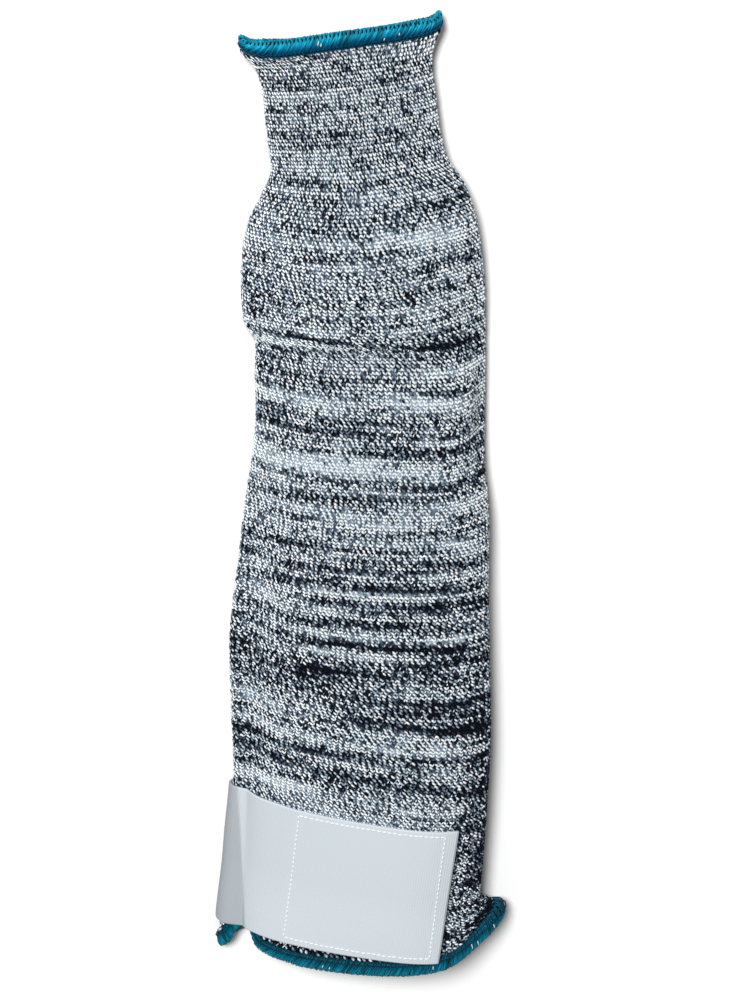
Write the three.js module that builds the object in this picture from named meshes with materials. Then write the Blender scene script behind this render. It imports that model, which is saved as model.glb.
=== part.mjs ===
// Cut resistant sleeve, lying on its back: a seamless knitted tube with a narrow
// wrist cuff, a teal overlocked edge at each end, and a woven closure strap that
// comes round the left side of the arm end and lies over its front.
//
// Millimetres. +Z is up, off the surface that the sleeve lies on. +Y runs along the
// sleeve towards the wrist, +X to the right as the sleeve is seen from above with
// its wrist end away from the viewer. The origin is on the surface, under the middle
// of the box round the whole sleeve.
import * as THREE from 'three';

// ---------------------------------------------------------------- named sizes
const CENTRE_X = -4.4;        // middle of the sleeve's box in the tables' own frame
const CENTRE_Y = -5.0;
const WALL = 1.8;             // knitted wall
const HEM_ALONG = 2.9;        // half height of the overlocked edge, along the sleeve
const HEM_THICK = 2.0;        // half thickness of the overlocked edge
const HEM_GAP = 0.6;          // between the edge rope and the end of the knit
const STRAP_THICK = 1.1;      // woven strap
const STRAP_GAP = 0.6;        // strap to knit, where nothing lies between them
const STRAP_BRIDGE = 1.2;     // more than that over the hollow beside the left fold
const STRAP_FLARE = 1.1;      // more than that at its lower edge, where the rim stands out
const STRAP_FLARE_UNDER = 0.6; // share of that flare underneath
const PATCH_THICK = 0.9;      // fastener patch under the strap's free end
const PATCH_GAP = 0.7;        // patch to knit, and patch to strap
const AROUND = 52;            // facets round the tube, half of them on the front
const HEM_SIDES = 7;
const CURVE_STEPS = 24;       // fine steps between two control points of a section
const LONGEST_FACET = 13;     // along the tube

// ------------------------------------------------------------------- sections
// One row for each section of the knitted tube, wrist to arm. xl, yl, zl: the left
// fold. xr, yr, zr: the right fold. hl, hc, hr: heights of the left shoulder, the
// middle and the right shoulder of the front. fl, vl: how far in from the left fold
// the side ends, and its height there. fr, vr: the same on the right. sl, sr: width
// of the slope from there up to the shoulder. kl: how blunt the left fold is, from
// 0.5, round, to 0.85, a pressed fin. bl, bc: height of the underside at the left,
// where the strap lies under it, and at the middle and right.
const SECTION_COLUMNS = ['name', 'xl', 'yl', 'zl', 'xr', 'yr', 'zr', 'hl', 'hc', 'hr', 'fl', 'vl', 'fr', 'vr', 'sl', 'sr', 'kl', 'bl', 'bc'];
const SECTIONS = [
  ['rim_neck', -40.6, 172.2, 7, 23.1, 179, 7, 12.5, 14, 12.5, 2.5, 10, 2.5, 10, 9, 9, 0.5, 0.7, 0.7],
  ['cuff_a', -39.3, 168.7, 7, 22.9, 175.4, 7, 13.5, 15, 13.5, 1.8, 10, 1.8, 10, 9, 9, 0.5, 0, 0],
  ['cuff_b', -37.7, 155.6, 7, 24.5, 162.3, 7, 14, 16, 14, 1.8, 10.5, 1.8, 10.5, 9, 9, 0.5, 0, 0],
  ['cuff_c', -36.4, 141.7, 7.5, 26.5, 148.2, 7.5, 15, 18, 15, 1.8, 11, 1.8, 11, 9, 9, 0.5, 0, 0],
  ['cuff_end', -35.8, 134.2, 8, 28.7, 140, 8, 18, 22, 18, 2, 12, 2, 12, 11, 11, 0.5, 0, 0],
  ['shoulder', -39.2, 126.1, 9, 34.7, 131.1, 9, 25, 29, 25, 2.5, 14, 2.5, 14, 17, 17, 0.5, 0, 0],
  ['bulge_a', -44.4, 115.6, 10, 39.1, 119.5, 9, 31, 34, 30, 2.5, 16, 2.5, 15, 23, 23, 0.5, 0, 0],
  ['bulge_b', -46.9, 101.9, 11, 41.9, 104.4, 8, 34, 36.5, 31, 2.5, 17, 2.5, 13, 26, 24, 0.5, 0, 0],
  ['bulge_c', -47.2, 86.5, 11, 43.4, 87.8, 7, 33, 35, 30, 2.5, 17, 2.5, 12, 26, 22, 0.5, 0, 0],
  ['bulge_end', -46.3, 75.8, 10, 43.8, 75.9, 6, 30, 32, 27, 2.2, 16, 2.5, 11, 22, 18, 0.5, 0, 0],
  ['step', -43, 69.4, 9, 44, 67.8, 5.5, 25, 26, 22, 2, 14, 2.3, 10, 18, 12, 0.5, 0, 0],
  ['mid_a', -42.9, 54.6, 9.5, 44.2, 51.9, 5.5, 26, 29, 25, 2, 15, 2.2, 10, 18, 9, 0.5, 0, 0],
  ['mid_b', -42.8, 38.4, 10, 44.3, 35, 5.5, 26, 29, 26, 2, 15, 2, 10, 18, 9, 0.5, 0, 0],
  ['waist', -44.6, 21.8, 10, 44.4, 18.4, 7, 25, 28, 26, 2, 15, 1.8, 13, 18, 11, 0.5, 0, 0],
  ['lower_a', -47.6, 2.4, 9, 46.3, -0.5, 10, 24, 28.5, 26.5, 3, 12, 2, 17, 17, 14, 0.6, 0, 0],
  ['lower_b', -51, -24.7, 6, 46.5, -27.5, 12, 21, 28.5, 27, 5.5, 9, 2, 19, 15, 15, 0.75, 0, 0],
  ['lower_c', -54.8, -56.2, 4.6, 47.5, -61.2, 12, 19, 28.5, 28, 7, 8.3, 2, 20, 13, 16, 0.85, 0, 0],
  ['lower_d', -55.1, -87.7, 4.8, 48.5, -96.3, 12, 18, 28, 29, 7, 8.5, 2, 21, 12, 16, 0.85, 0.5, 0],
  ['strap_top', -54.8, -122.4, 5.5, 47.5, -132.1, 12.5, 17.5, 27.5, 30, 7, 8.9, 2, 22, 11, 16, 0.85, 2.8, 0],
  ['strap_mid', -57.6, -150.4, 5.5, 46.4, -156.6, 12.5, 16.5, 27, 30, 8.8, 8.9, 2.2, 22, 10, 17, 0.85, 2.8, 0],
  ['strap_low', -59.5, -173.5, 5.6, 46.4, -174.6, 12, 16, 26.5, 29.5, 9.3, 9, 3, 21, 10, 18, 0.85, 2.8, 0.5],
];

// Centre line of each overlocked edge, one row for each turn of the rim, from the
// left fold over the front to the right fold and back underneath.
const HEM_COLUMNS = ['name', 'x', 'y', 'z'];
const WRIST_HEM = [
  ['fold_left', -45.7, 183.7, 6.6],
  ['fold_left_top', -44.9, 183.2, 8.7],
  ['side_left', -42.7, 182.3, 10.1],
  ['shoulder_left', -35.3, 182, 11.4],
  ['front', -10.2, 185.4, 11.8],
  ['shoulder_right', 15.6, 189, 11.4],
  ['side_right', 22.7, 190.2, 9.8],
  ['fold_right', 25.1, 191.8, 6.8],
  ['under_right', 20.9, 188.5, 2.3],
  ['under', -8, 182.4, 2.2],
  ['under_left_in', -30, 180, 2.2],
  ['under_left', -41.2, 180.7, 2.3],
  ['fold_left_under', -44.8, 182.8, 4.3],
];
const ARM_HEM = [
  ['fold_left', -61, -200, 5.7],
  ['fold_left_top', -59.2, -197.2, 8],
  ['root_outer', -55.2, -190.6, 8],
  ['root', -51.6, -187.4, 7.9],
  ['root_inner', -48.2, -190.6, 9],
  ['shoulder_left', -43.6, -197.8, 14],
  ['front', -7.6, -201.4, 24.5],
  ['shoulder_right', 30.5, -197.4, 27.5],
  ['side_right', 44.9, -188.8, 20],
  ['fold_right', 52.7, -182.4, 12],
  ['under_right', 47, -188.3, 2.3],
  ['under', -3.5, -188.4, 2.1],
  ['under_left_in', -34, -191.5, 2.8],
  ['under_left', -52.2, -193.4, 3.3],
  ['fold_left_under', -59.3, -198.4, 3.5],
];

// Strap edges: y = start + lean * x on the sleeve's front, upper edge towards the
// wrist. fold: x where that edge turns round the left fold. end: x of its free end.
// patch_from, patch_to: x of the patch's two ends.
const STRAP_COLUMNS = ['edge', 'start', 'lean', 'fold', 'end', 'patch_from', 'patch_to'];
const STRAP = [
  ['upper', -129.4, -0.088, -55.2, 35.0, -26.5, 31.5],
  ['lower', -192.6, -0.062, -60.8, 27.5, -33.5, 25.2],
];
const STRAP_SEWN_X = -36;     // sewn end of the strap, under the sleeve
const PATCH_INSET = 0.05;     // of the strap's width, along both edges
const PATCH_RAMP = 19;        // over which the strap comes down off the patch

const asRecords = (columns, rows) => rows.map((row) => Object.fromEntries(columns.map((c, i) => [c, row[i]])));
const sections = asRecords(SECTION_COLUMNS, SECTIONS);
const wristHem = asRecords(HEM_COLUMNS, WRIST_HEM);
const armHem = asRecords(HEM_COLUMNS, ARM_HEM);
const strapEdges = asRecords(STRAP_COLUMNS, STRAP);

// ---------------------------------------------------------------- section curves
// Points of one section: eight over the front, five underneath.
function sectionPoints(row) {
  const width = row.xr - row.xl;
  const across = [
    [0, row.zl], [row.fl * 0.25, row.zl + (row.vl - row.zl) * row.kl], [row.fl, row.vl], [row.fl + row.sl, row.hl],
    [width / 2, row.hc], [width - row.fr - row.sr, row.hr], [width - row.fr, row.vr], [width, row.zr],
    [width - 8, row.bc], [width / 2, row.bc], [28, row.bl], [8, row.bl], [2.4, row.bl + (row.zl - row.bl) * 0.3],
  ];
  return across.map(([a, z]) => new THREE.Vector3(row.xl + a, row.yl + (row.yr - row.yl) * a / width, z));
}
const SECTION_RIGHT_FOLD = 7; // place of the right fold in those points

function closedCurve(points) {
  const curve = new THREE.CatmullRomCurve3(points, true, 'centripetal');
  const count = points.length * CURVE_STEPS;
  return Array.from({ length: count }, (_, i) => curve.getPoint(i / count));
}

// Directions at each point of a closed fine curve: along the sleeve, and out of it.
function directions(curve) {
  const n = curve.length;
  return curve.map((_, i) => {
    const tangent = curve[(i + 1) % n].clone().sub(curve[(i + n - 1) % n]).normalize();
    const along = new THREE.Vector3(0, 1, 0).addScaledVector(tangent, -tangent.y).normalize();
    return { tangent, along, out: tangent.clone().cross(along) };
  });
}

// A section with its inner line, from a table row or from a hem.
function sectionFromRow(row) {
  const outer = closedCurve(sectionPoints(row));
  return withInner(outer, directions(outer), SECTION_RIGHT_FOLD);
}
function sectionFromHem(curve, rows, side) {
  const dirs = directions(curve);
  const outer = curve.map((p, i) => p.clone()
    .addScaledVector(dirs[i].along, side * (HEM_ALONG + HEM_GAP))
    .addScaledVector(dirs[i].out, WALL / 2));
  return withInner(outer, dirs, rows.findIndex((r) => r.name === 'fold_right'));
}
function withInner(outer, dirs, rightFold) {
  const inner = outer.map((p, i) => p.clone().addScaledVector(dirs[i].out, -WALL));
  return { outer, inner, right: rightFold * CURVE_STEPS };
}

// Even steps over the front, then even steps underneath, measured on the outer line.
function resample(section, count) {
  const { outer, right } = section;
  const n = outer.length;
  const result = { outer: [], inner: [] };
  for (const [from, to] of [[0, right], [right, n]]) {
    const lengths = [0];
    for (let i = from; i < to; i++) lengths.push(lengths.at(-1) + outer[i].distanceTo(outer[(i + 1) % n]));
    const total = lengths.at(-1);
    for (let j = 0; j < count / 2; j++) {
      const want = total * j / (count / 2);
      let k = 0;
      while (lengths[k + 1] < want) k++;
      const u = (want - lengths[k]) / (lengths[k + 1] - lengths[k]);
      for (const line of ['outer', 'inner']) {
        result[line].push(section[line][from + k].clone().lerp(section[line][(from + k + 1) % n], u));
      }
    }
  }
  return result;
}

// Smooth lengthwise curves through matching points of all the sections.
function loft(rows) {
  const knots = [0];
  for (let i = 1; i < rows.length; i++) {
    const mean = rows[i].reduce((sum, p, j) => sum + p.distanceTo(rows[i - 1][j]), 0) / rows[i].length;
    knots.push(knots[i - 1] + mean);
  }
  const slope = (i, j) => rows[i + 1][j].clone().sub(rows[i][j]).divideScalar(knots[i + 1] - knots[i]);
  const tangent = (i, j) => {
    if (i === 0) return slope(0, j);
    if (i === rows.length - 1) return slope(i - 1, j);
    const before = knots[i] - knots[i - 1], after = knots[i + 1] - knots[i];
    return slope(i - 1, j).multiplyScalar(after).addScaledVector(slope(i, j), before).divideScalar(before + after);
  };
  const at = (k, j) => {
    let i = 0;
    while (i < rows.length - 2 && knots[i + 1] <= k) i++;
    const h = knots[i + 1] - knots[i], u = (k - knots[i]) / h;
    const point = rows[i][j].clone().multiplyScalar(2 * u ** 3 - 3 * u ** 2 + 1)
      .addScaledVector(tangent(i, j), h * (u ** 3 - 2 * u ** 2 + u))
      .addScaledVector(rows[i + 1][j], 3 * u ** 2 - 2 * u ** 3)
      .addScaledVector(tangent(i + 1, j), h * (u ** 3 - u ** 2));
    return point;
  };
  return { knots, at, count: rows[0].length };
}

// A hem's centre line never dips so low that the rope would sink into the surface.
const hemCurve = (rows) => closedCurve(rows.map((r) => new THREE.Vector3(r.x, r.y, r.z)))
  .map((p) => new THREE.Vector3(p.x, p.y, Math.max(p.z, HEM_THICK)));
const wristCurve = hemCurve(wristHem);
const armCurve = hemCurve(armHem);
const allSections = [
  sectionFromHem(wristCurve, wristHem, -1), ...sections.map(sectionFromRow), sectionFromHem(armCurve, armHem, 1),
];

function loftWith(chosen, count) {
  const rows = chosen.map((s) => resample(s, count));
  return { outer: loft(rows.map((r) => r.outer)), inner: loft(rows.map((r) => r.inner)) };
}

// ------------------------------------------------------------------- mesh helpers
// rings: closed rings of equal length. capped: the first ring joins the last one.
function tubeGeometry(rings, joined) {
  const around = rings[0].length;
  const positions = rings.flat().flatMap((p) => [p.x - CENTRE_X, p.y - CENTRE_Y, p.z]);
  const index = [];
  const last = joined ? rings.length : rings.length - 1;
  for (let i = 0; i < last; i++) {
    const a = i * around, b = ((i + 1) % rings.length) * around;
    for (let j = 0; j < around; j++) {
      const k = (j + 1) % around;
      index.push(a + j, b + j, b + k, a + j, b + k, a + k);
    }
  }
  return geometry(positions, index);
}
// bottom and top: matching grids of points, rows of columns. A closed slab.
function slabGeometry(bottom, top) {
  const rows = top.length, columns = top[0].length;
  const positions = [...bottom.flat(), ...top.flat()].flatMap((p) => [p.x - CENTRE_X, p.y - CENTRE_Y, p.z]);
  const at = (layer, r, c) => layer * rows * columns + r * columns + c;
  const index = [];
  const quad = (a, b, c, d) => index.push(a, b, c, a, c, d);
  for (let r = 0; r < rows - 1; r++) {
    for (let c = 0; c < columns - 1; c++) {
      quad(at(1, r, c), at(1, r + 1, c), at(1, r + 1, c + 1), at(1, r, c + 1));
      quad(at(0, r, c), at(0, r, c + 1), at(0, r + 1, c + 1), at(0, r + 1, c));
    }
  }
  for (let c = 0; c < columns - 1; c++) {
    quad(at(0, 0, c), at(1, 0, c), at(1, 0, c + 1), at(0, 0, c + 1));
    quad(at(0, rows - 1, c + 1), at(1, rows - 1, c + 1), at(1, rows - 1, c), at(0, rows - 1, c));
  }
  for (let r = 0; r < rows - 1; r++) {
    quad(at(0, r + 1, 0), at(1, r + 1, 0), at(1, r, 0), at(0, r, 0));
    quad(at(0, r, columns - 1), at(1, r, columns - 1), at(1, r + 1, columns - 1), at(0, r + 1, columns - 1));
  }
  return geometry(positions, index);
}
function geometry(positions, index) {
  const made = new THREE.BufferGeometry();
  made.setAttribute('position', new THREE.Float32BufferAttribute(positions, 3));
  made.setIndex(index);
  made.computeVertexNormals();
  return made;
}

// -------------------------------------------------------------------- the sleeve
const onSurface = (p) => new THREE.Vector3(p.x, p.y, Math.max(p.z, 0));
function sleeveGeometry() {
  const { outer, inner } = loftWith(allSections, AROUND);
  const places = [0];
  for (let i = 1; i < outer.knots.length; i++) {
    const gap = outer.knots[i] - outer.knots[i - 1];
    const parts = Math.max(1, Math.round(gap / LONGEST_FACET));
    for (let p = 1; p <= parts; p++) places.push(outer.knots[i - 1] + gap * p / parts);
  }
  // matching places on the inner loft, whose knots differ a little
  const inside = (k) => {
    let i = 0;
    while (i < outer.knots.length - 2 && outer.knots[i + 1] <= k) i++;
    const u = (k - outer.knots[i]) / (outer.knots[i + 1] - outer.knots[i]);
    return inner.knots[i] + u * (inner.knots[i + 1] - inner.knots[i]);
  };
  const ring = (surface, k) => Array.from({ length: AROUND }, (_, j) => surface.at(k, j));
  const outside = places.map((k) => ring(outer, k).map(onSurface));
  const hollow = places.map((k) => ring(inner, inside(k)).map((p) => new THREE.Vector3(p.x, p.y, Math.max(p.z, WALL))));
  // out over the front and back along the inside, as one closed skin
  return tubeGeometry([...outside, ...hollow.reverse()], true);
}

// ---------------------------------------------------------------------- the hems
function hemGeometry(curve) {
  const dirs = directions(curve);
  const rings = [];
  const lengths = [0];
  for (let i = 0; i < curve.length; i++) lengths.push(lengths.at(-1) + curve[i].distanceTo(curve[(i + 1) % curve.length]));
  for (let j = 0; j < AROUND; j++) {
    const want = lengths.at(-1) * j / AROUND;
    let k = 0;
    while (lengths[k + 1] < want) k++;
    const { along, out } = dirs[k];
    rings.push(Array.from({ length: HEM_SIDES }, (_, s) => {
      const angle = -2 * Math.PI * (s + 0.5) / HEM_SIDES;
      return onSurface(curve[k].clone()
        .addScaledVector(along, HEM_ALONG * Math.cos(angle))
        .addScaledVector(out, HEM_THICK * Math.sin(angle)));
    }));
  }
  return tubeGeometry(rings, true);
}

// --------------------------------------------------------------------- the strap
// The strap follows the plain sections of the arm end, carried on straight past the
// last one, so that it crosses the notch in the rim beside the left fold.
const FINE = 208;             // points round the surface that the strap follows
const STRAP_END_AT = 1.2;     // how far it is carried on, in steps between the last two sections
function carriedOn() {
  const [before, last] = sections.slice(-2);
  const row = { ...last };
  for (const column of ['xl', 'yl', 'xr', 'yr', 'hc', 'hr']) row[column] += STRAP_END_AT * (last[column] - before[column]);
  return row;
}
const fine = loftWith([...sections.slice(-5), carriedOn()].map(sectionFromRow), FINE).outer;
const mix = (a, b, u) => a + (b - a) * u;
// Point of the knit's outside at place s round it (0 left fold, 0.5 right fold).
function surfacePoint(s, k) {
  const x = ((s % 1) + 1) % 1 * FINE;
  const j = Math.floor(x) % FINE;
  return fine.at(k, j).lerp(fine.at(k, (j + 1) % FINE), x - Math.floor(x));
}
// y of the strap's line b (0 upper, 1 lower). Underneath it keeps its lean as it
// comes back from the fold.
function strapLine(s, b, x) {
  const start = mix(strapEdges[0].start, strapEdges[1].start, b);
  const lean = mix(strapEdges[0].lean, strapEdges[1].lean, b);
  const fold = mix(strapEdges[0].fold, strapEdges[1].fold, b);
  return start + lean * (s < 0 ? 2 * fold - x : x);
}
// Place along the sleeve where the line at s crosses that line.
function strapPlace(s, b) {
  let low = fine.knots.at(-1) - 130, high = fine.knots.at(-1);
  for (let i = 0; i < 40; i++) {
    const mid = (low + high) / 2;
    const p = surfacePoint(s, mid);
    const y = strapLine(s, b, p.x);
    if (p.y > y) low = mid; else high = mid;
  }
  return (low + high) / 2;
}
function strapPoint(s, b, lift) {
  const k = strapPlace(s, b);
  const p = surfacePoint(s, k);
  const du = surfacePoint(s + 0.004, k).sub(surfacePoint(s - 0.004, k));
  const dk = surfacePoint(s, k - 1.5).sub(surfacePoint(s, k + 1.5));
  return p.addScaledVector(du.cross(dk).normalize(), lift);
}
// Place round the sleeve where the strap's line b reaches x, on the front or underneath.
function placeAtX(x, b, from, to) {
  let low = from, high = to;
  const rising = surfacePoint(to, strapPlace(to, b)).x > surfacePoint(from, strapPlace(from, b)).x;
  for (let i = 0; i < 30; i++) {
    const mid = (low + high) / 2;
    if ((surfacePoint(mid, strapPlace(mid, b)).x < x) === rising) low = mid; else high = mid;
  }
  return (low + high) / 2;
}
const STRAP_ROWS = 5, PATCH_STEPS = 12;
const HOLLOW_PLACE = 0.058, HOLLOW_REACH = 0.03;
// Steps of the strap between places round the sleeve: short ones round the left fold.
const STRAP_STRETCHES = [
  { to: -0.05, steps: 4 },
  { to: 0.05, steps: 12 },
  { to: 0.13, steps: 6 },
  { to: null, steps: 14 },
];
function strapPlaces(start, end) {
  const places = [start];
  for (const { to, steps } of STRAP_STRETCHES) {
    const from = places.at(-1);
    for (let i = 1; i <= steps; i++) places.push(mix(from, to ?? end, i / steps));
  }
  return places;
}
function strapGeometry() {
  const bottom = [], top = [];
  for (let r = 0; r < STRAP_ROWS; r++) {
    const b = r / (STRAP_ROWS - 1);
    const start = placeAtX(STRAP_SEWN_X, b, -0.02, -0.35);
    const end = placeAtX(mix(strapEdges[0].end, strapEdges[1].end, b), b, 0.05, 0.49);
    const patchFrom = mix(strapEdges[0].patch_from, strapEdges[1].patch_from, b);
    const low = [], high = [];
    for (const s of strapPlaces(start, end)) {
      const x = surfacePoint(s, strapPlace(s, b)).x;
      const overPatch = s > 0.02 ? THREE.MathUtils.smoothstep(x, patchFrom - PATCH_RAMP, patchFrom - 1) : 0;
      const overHollow = s > 0 ? Math.exp(-(((s - HOLLOW_PLACE) / HOLLOW_REACH) ** 2)) : 0;
      const lift = mix(STRAP_GAP, PATCH_GAP * 2 + PATCH_THICK, overPatch) + STRAP_BRIDGE * overHollow
        + STRAP_FLARE * THREE.MathUtils.smoothstep(b, 0.5, 1) * mix(STRAP_FLARE_UNDER, 1, THREE.MathUtils.smoothstep(s, -0.07, -0.02));
      low.push(strapPoint(s, b, lift));
      high.push(strapPoint(s, b, lift + STRAP_THICK));
    }
    bottom.push(low);
    top.push(high);
  }
  return slabGeometry(bottom, top);
}
function patchGeometry() {
  const bottom = [], top = [];
  for (let r = 0; r < STRAP_ROWS; r++) {
    const b = mix(PATCH_INSET, 1 - PATCH_INSET, r / (STRAP_ROWS - 1));
    const start = placeAtX(mix(strapEdges[0].patch_from, strapEdges[1].patch_from, b), b, 0.05, 0.49);
    const end = placeAtX(mix(strapEdges[0].patch_to, strapEdges[1].patch_to, b), b, 0.05, 0.49);
    const places = Array.from({ length: PATCH_STEPS + 1 }, (_, c) => mix(start, end, c / PATCH_STEPS));
    bottom.push(places.map((s) => strapPoint(s, b, PATCH_GAP)));
    top.push(places.map((s) => strapPoint(s, b, PATCH_GAP + PATCH_THICK)));
  }
  return slabGeometry(bottom, top);
}

// --------------------------------------------------------------------- the group
const cloth = (color, roughness) => new THREE.MeshStandardMaterial({ color, roughness, metalness: 0 });
const marlKnit = cloth(0x848d97, 0.9);
const tealEdge = cloth(0x0a7f99, 0.6);
const greyWeb = cloth(0xcfd8dd, 0.8);
const greyHook = cloth(0xb9c1c6, 0.75);

const sleeve = new THREE.Group();
sleeve.name = 'cut_resistant_sleeve';
function add(name, shape, material) {
  const mesh = new THREE.Mesh(shape, material);
  mesh.name = name;
  sleeve.add(mesh);
}
add('knit_sleeve', sleeveGeometry(), marlKnit);
add('wrist_hem', hemGeometry(wristCurve), tealEdge);
add('arm_hem', hemGeometry(armCurve), tealEdge);
add('closure_strap', strapGeometry(), greyWeb);
add('hook_patch', patchGeometry(), greyHook);

export default sleeve;
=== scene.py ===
# Look of the cut resistant sleeve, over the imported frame. Lengths in the tables are
# millimetres in the sleeve's own table frame; meshes are written in metres.
import math

import bpy
import numpy as np
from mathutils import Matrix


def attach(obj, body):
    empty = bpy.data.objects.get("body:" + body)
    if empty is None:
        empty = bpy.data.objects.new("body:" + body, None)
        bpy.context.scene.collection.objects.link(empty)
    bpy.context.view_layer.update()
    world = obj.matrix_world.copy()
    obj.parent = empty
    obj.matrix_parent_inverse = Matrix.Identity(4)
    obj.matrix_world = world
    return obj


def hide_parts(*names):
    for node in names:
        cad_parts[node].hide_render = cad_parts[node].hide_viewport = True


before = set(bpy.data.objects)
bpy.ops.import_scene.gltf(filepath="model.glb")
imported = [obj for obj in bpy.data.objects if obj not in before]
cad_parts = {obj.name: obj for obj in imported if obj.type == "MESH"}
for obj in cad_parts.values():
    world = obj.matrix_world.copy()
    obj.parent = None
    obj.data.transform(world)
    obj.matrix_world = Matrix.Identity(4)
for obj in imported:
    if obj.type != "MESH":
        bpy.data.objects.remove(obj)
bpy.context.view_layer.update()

# ------------------------------------------------------------------ camera values
CENTRE = np.array([-4.4, -5.0, 0.0])   # middle of the sleeve's box in the tables' frame
TILT = math.radians(24.5)              # camera's lean away from straight down
DISTANCE = 1.1
LENS = 102.62                          # on the 36 mm long side of the picture
AIM = (-CENTRE[0] / 1000, -CENTRE[1] / 1000, 0.0)

scene = bpy.context.scene
camera = bpy.data.objects.new("photo_camera", bpy.data.cameras.new("photo_camera"))
scene.collection.objects.link(camera)
camera.data.lens = LENS
camera.data.sensor_width = 36.0
camera.data.sensor_fit = "AUTO"
camera.data.clip_start = 0.05
camera.data.clip_end = 20.0
camera.location = (AIM[0], AIM[1] + DISTANCE * math.sin(TILT), DISTANCE * math.cos(TILT))
camera.rotation_euler = (-TILT, 0.0, 0.0)
scene.camera = camera

# ------------------------------------------------------------------- named sizes
WALL = 1.8
HEM_ALONG = 2.9
HEM_THICK = 2.0
HEM_GAP = 0.6
STRAP_THICK = 1.1
STRAP_GAP = 0.6
STRAP_BRIDGE = 1.2
STRAP_FLARE = 1.1
STRAP_FLARE_UNDER = 0.6
PATCH_THICK = 0.9
PATCH_GAP = 0.7
WALES = 106            # stitches round the sleeve
COURSE = 1.37          # one course along the sleeve
PIECES = 6             # the stitches are kept in this many lengths of sleeve
CREST = 0.22           # how far the stitches stand out of the fabric's mean surface
BACKING = 0.5          # how far under that surface the ground behind them lies

SECTION_COLUMNS = ["name", "xl", "yl", "zl", "xr", "yr", "zr", "hl", "hc", "hr", "fl", "vl", "fr", "vr", "sl", "sr", "kl", "bl", "bc"]
SECTIONS = [
    ["rim_neck", -40.6, 172.2, 7, 23.1, 179, 7, 12.5, 14, 12.5, 2.5, 10, 2.5, 10, 9, 9, 0.5, 0.7, 0.7],
    ["cuff_a", -39.3, 168.7, 7, 22.9, 175.4, 7, 13.5, 15, 13.5, 1.8, 10, 1.8, 10, 9, 9, 0.5, 0, 0],
    ["cuff_b", -37.7, 155.6, 7, 24.5, 162.3, 7, 14, 16, 14, 1.8, 10.5, 1.8, 10.5, 9, 9, 0.5, 0, 0],
    ["cuff_c", -36.4, 141.7, 7.5, 26.5, 148.2, 7.5, 15, 18, 15, 1.8, 11, 1.8, 11, 9, 9, 0.5, 0, 0],
    ["cuff_end", -35.8, 134.2, 8, 28.7, 140, 8, 18, 22, 18, 2, 12, 2, 12, 11, 11, 0.5, 0, 0],
    ["shoulder", -39.2, 126.1, 9, 34.7, 131.1, 9, 25, 29, 25, 2.5, 14, 2.5, 14, 17, 17, 0.5, 0, 0],
    ["bulge_a", -44.4, 115.6, 10, 39.1, 119.5, 9, 31, 34, 30, 2.5, 16, 2.5, 15, 23, 23, 0.5, 0, 0],
    ["bulge_b", -46.9, 101.9, 11, 41.9, 104.4, 8, 34, 36.5, 31, 2.5, 17, 2.5, 13, 26, 24, 0.5, 0, 0],
    ["bulge_c", -47.2, 86.5, 11, 43.4, 87.8, 7, 33, 35, 30, 2.5, 17, 2.5, 12, 26, 22, 0.5, 0, 0],
    ["bulge_end", -46.3, 75.8, 10, 43.8, 75.9, 6, 30, 32, 27, 2.2, 16, 2.5, 11, 22, 18, 0.5, 0, 0],
    ["step", -43, 69.4, 9, 44, 67.8, 5.5, 25, 26, 22, 2, 14, 2.3, 10, 18, 12, 0.5, 0, 0],
    ["mid_a", -42.9, 54.6, 9.5, 44.2, 51.9, 5.5, 26, 29, 25, 2, 15, 2.2, 10, 18, 9, 0.5, 0, 0],
    ["mid_b", -42.8, 38.4, 10, 44.3, 35, 5.5, 26, 29, 26, 2, 15, 2, 10, 18, 9, 0.5, 0, 0],
    ["waist", -44.6, 21.8, 10, 44.4, 18.4, 7, 25, 28, 26, 2, 15, 1.8, 13, 18, 11, 0.5, 0, 0],
    ["lower_a", -47.6, 2.4, 9, 46.3, -0.5, 10, 24, 28.5, 26.5, 3, 12, 2, 17, 17, 14, 0.6, 0, 0],
    ["lower_b", -51, -24.7, 6, 46.5, -27.5, 12, 21, 28.5, 27, 5.5, 9, 2, 19, 15, 15, 0.75, 0, 0],
    ["lower_c", -54.8, -56.2, 4.6, 47.5, -61.2, 12, 19, 28.5, 28, 7, 8.3, 2, 20, 13, 16, 0.85, 0, 0],
    ["lower_d", -55.1, -87.7, 4.8, 48.5, -96.3, 12, 18, 28, 29, 7, 8.5, 2, 21, 12, 16, 0.85, 0.5, 0],
    ["strap_top", -54.8, -122.4, 5.5, 47.5, -132.1, 12.5, 17.5, 27.5, 30, 7, 8.9, 2, 22, 11, 16, 0.85, 2.8, 0],
    ["strap_mid", -57.6, -150.4, 5.5, 46.4, -156.6, 12.5, 16.5, 27, 30, 8.8, 8.9, 2.2, 22, 10, 17, 0.85, 2.8, 0],
    ["strap_low", -59.5, -173.5, 5.6, 46.4, -174.6, 12, 16, 26.5, 29.5, 9.3, 9, 3, 21, 10, 18, 0.85, 2.8, 0.5],
]
HEM_COLUMNS = ["name", "x", "y", "z"]
WRIST_HEM = [
    ["fold_left", -45.7, 183.7, 6.6], ["fold_left_top", -44.9, 183.2, 8.7],
    ["side_left", -42.7, 182.3, 10.1], ["shoulder_left", -35.3, 182, 11.4],
    ["front", -10.2, 185.4, 11.8], ["shoulder_right", 15.6, 189, 11.4],
    ["side_right", 22.7, 190.2, 9.8], ["fold_right", 25.1, 191.8, 6.8],
    ["under_right", 20.9, 188.5, 2.3], ["under", -8, 182.4, 2.2],
    ["under_left_in", -30, 180, 2.2], ["under_left", -41.2, 180.7, 2.3],
    ["fold_left_under", -44.8, 182.8, 4.3],
]
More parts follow.
